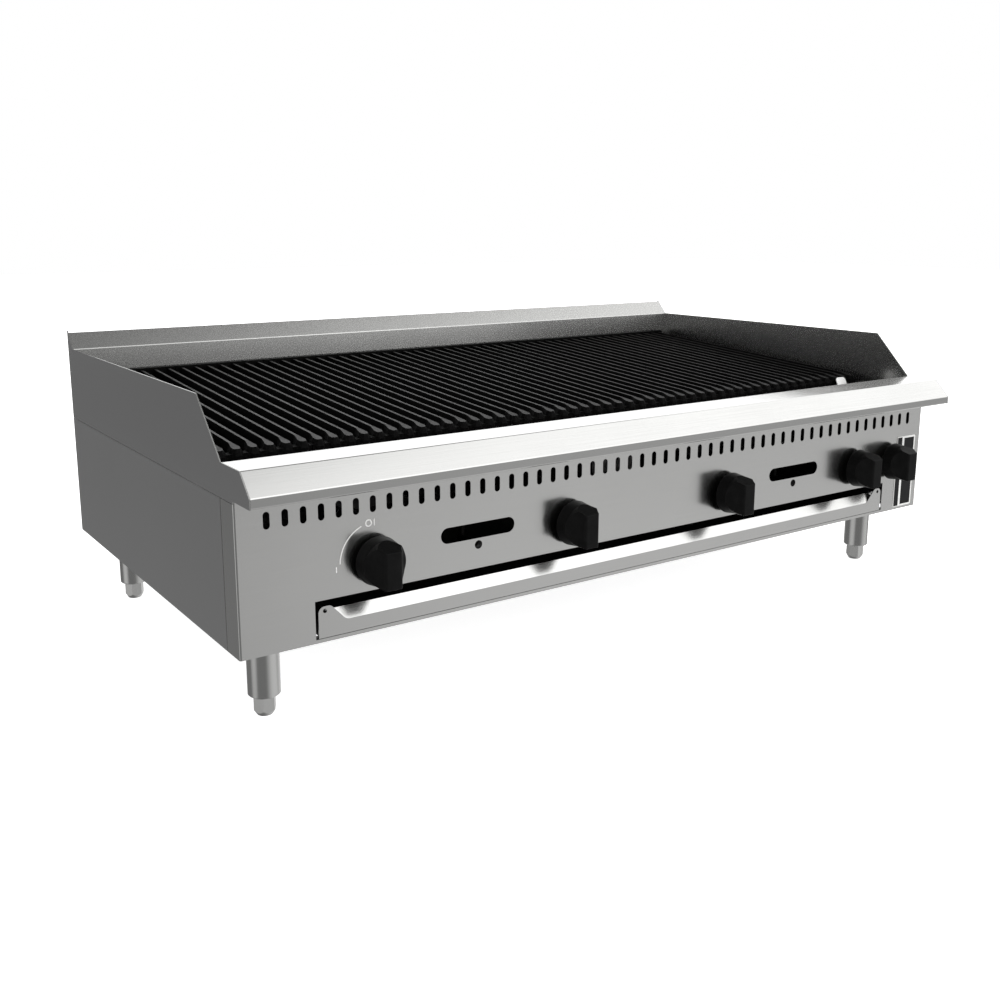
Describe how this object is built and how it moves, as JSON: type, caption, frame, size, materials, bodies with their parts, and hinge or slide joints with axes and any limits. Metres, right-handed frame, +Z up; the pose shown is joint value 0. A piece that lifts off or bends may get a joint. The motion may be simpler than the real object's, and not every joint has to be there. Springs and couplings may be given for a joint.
{
  "type": "charbroiler grill",
  "caption": "Countertop gas charbroiler: sloped lift-out cast grates, splash guards, bar-grip knobs, slide-out grease drawer, adjustable legs.",
  "frame": {"origin": "on the counter, under the centre of the whole unit's box", "axes": "+X to the right end seen from the front, +Y to the back, +Z up; the knobs face -Y"},
  "size_m": [1.219, 0.7362, 0.4162],
  "materials": {
    "panel_steel": "fine vertical brushing, satin",
    "side_steel": "fine brushing, satin",
    "splash_steel": "fine brushing, satin",
    "ledge_steel": "fine brushing along the ledge, satin",
    "inner_steel": "mill finish",
    "grate_iron": "black seasoned casting",
    "radiant_steel": "heat-tinted sheet",
    "burner_steel": "heat-tinted tube",
    "valve_brass": "machined",
    "pipe_steel": "black iron pipe",
    "knob_plastic": "fine moulded texture",
    "stem_steel": "machined",
    "leg_steel": "drawn tube, satin",
    "badge_film": "dark printed film on metal",
    "bolt_steel": "zinc plated"
  },
  "bodies": {
    "chassis": {"control_panel": "panel_steel", "left_side_panel": "side_steel", "right_side_panel": "side_steel", "left_splash": "splash_steel", "right_splash": "splash_steel", "backsplash": "splash_steel", "front_ledge": "ledge_steel", "back_panel": "inner_steel", "drawer_runners": "inner_steel", "grease_trough": "inner_steel", "front_grate_rail": "inner_steel", "rear_grate_rail": "inner_steel", "stop_tab": "ledge_steel", "manifold": "pipe_steel", "gas_pipe": "pipe_steel", "main_valve": "valve_brass", "left_pilot": "burner_steel", "right_pilot": "burner_steel", "burner_valve_1": "valve_brass", "burner_1": "burner_steel", "radiant_1": "radiant_steel", "burner_valve_2": "valve_brass", "burner_2": "burner_steel", "radiant_2": "radiant_steel", "burner_valve_3": "valve_brass", "burner_3": "burner_steel", "radiant_3": "radiant_steel", "burner_valve_4": "valve_brass", "burner_4": "burner_steel", "radiant_4": "radiant_steel", "badge": "badge_film", "leg_bolts": "bolt_steel", "front_left_leg": "leg_steel", "front_right_leg": "leg_steel", "rear_left_leg": "leg_steel", "rear_right_leg": "leg_steel"},
    "burner_knob_1": {"knob_1": "knob_plastic", "valve_stem_1": "stem_steel"},
    "burner_knob_2": {"knob_2": "knob_plastic", "valve_stem_2": "stem_steel"},
    "burner_knob_3": {"knob_3": "knob_plastic", "valve_stem_3": "stem_steel"},
    "burner_knob_4": {"knob_4": "knob_plastic", "valve_stem_4": "stem_steel"},
    "main_gas_knob": {"main_knob": "knob_plastic", "main_valve_stem": "stem_steel"},
    "grease_drawer": {"drawer_front": "panel_steel", "drawer_pan": "inner_steel"},
    "lift_out_grate_1": {"grate_1": "grate_iron"},
    "lift_out_grate_2": {"grate_2": "grate_iron"},
    "lift_out_grate_3": {"grate_3": "grate_iron"},
    "lift_out_grate_4": {"grate_4": "grate_iron"},
    "lift_out_grate_5": {"grate_5": "grate_iron"},
    "lift_out_grate_6": {"grate_6": "grate_iron"},
    "lift_out_grate_7": {"grate_7": "grate_iron"},
    "lift_out_grate_8": {"grate_8": "grate_iron"},
    "front_left_adjuster": {"front_left_foot": "leg_steel"},
    "front_right_adjuster": {"front_right_foot": "leg_steel"},
    "rear_left_adjuster": {"rear_left_foot": "leg_steel"},
    "rear_right_adjuster": {"rear_right_foot": "leg_steel"}
  },
  "joints": [
    {"name": "burner_knob_1_turn", "type": "hinge", "parent": "chassis", "child": "burner_knob_1", "pos_m": [-0.43875, -0.3419, 0.1908], "axis": [0, -1, 0], "range_deg": [0, 90]},
    {"name": "burner_knob_2_turn", "type": "hinge", "parent": "chassis", "child": "burner_knob_2", "pos_m": [-0.14625, -0.3419, 0.1908], "axis": [0, -1, 0], "range_deg": [0, 90]},
    {"name": "burner_knob_3_turn", "type": "hinge", "parent": "chassis", "child": "burner_knob_3", "pos_m": [0.14625, -0.3419, 0.1908], "axis": [0, -1, 0], "range_deg": [0, 90]},
    {"name": "burner_knob_4_turn", "type": "hinge", "parent": "chassis", "child": "burner_knob_4", "pos_m": [0.43875, -0.3419, 0.1908], "axis": [0, -1, 0], "range_deg": [0, 90]},
    {"name": "main_gas_knob_turn", "type": "hinge", "parent": "chassis", "child": "main_gas_knob", "pos_m": [0.529, -0.3419, 0.1908], "axis": [0, -1, 0], "range_deg": [0, 90]},
    {"name": "grease_drawer_slide", "type": "slide", "parent": "chassis", "child": "grease_drawer", "axis": [0, -1, 0], "range_m": [0, 0.4]},
    {"name": "grate_1_lift", "type": "slide", "parent": "chassis", "child": "lift_out_grate_1", "axis": [0, 0, 1], "range_m": [0, 0.15]},
    {"name": "grate_2_lift", "type": "slide", "parent": "chassis", "child": "lift_out_grate_2", "axis": [0, 0, 1], "range_m": [0, 0.15]},
    {"name": "grate_3_lift", "type": "slide", "parent": "chassis", "child": "lift_out_grate_3", "axis": [0, 0, 1], "range_m": [0, 0.15]},
    {"name": "grate_4_lift", "type": "slide", "parent": "chassis", "child": "lift_out_grate_4", "axis": [0, 0, 1], "range_m": [0, 0.15]},
    {"name": "grate_5_lift", "type": "slide", "parent": "chassis", "child": "lift_out_grate_5", "axis": [0, 0, 1], "range_m": [0, 0.15]},
    {"name": "grate_6_lift", "type": "slide", "parent": "chassis", "child": "lift_out_grate_6", "axis": [0, 0, 1], "range_m": [0, 0.15]},
    {"name": "grate_7_lift", "type": "slide", "parent": "chassis", "child": "lift_out_grate_7", "axis": [0, 0, 1], "range_m": [0, 0.15]},
    {"name": "grate_8_lift", "type": "slide", "parent": "chassis", "child": "lift_out_grate_8", "axis": [0, 0, 1], "range_m": [0, 0.15]},
    {"name": "front_left_foot_adjust", "type": "slide", "parent": "chassis", "child": "front_left_adjuster", "axis": [0, 0, -1], "range_m": [0, 0.025]},
    {"name": "front_right_foot_adjust", "type": "slide", "parent": "chassis", "child": "front_right_adjuster", "axis": [0, 0, -1], "range_m": [0, 0.025]},
    {"name": "rear_left_foot_adjust", "type": "slide", "parent": "chassis", "child": "rear_left_adjuster", "axis": [0, 0, -1], "range_m": [0, 0.025]},
    {"name": "rear_right_foot_adjust", "type": "slide", "parent": "chassis", "child": "rear_right_adjuster", "axis": [0, 0, -1], "range_m": [0, 0.025]}
  ]
}
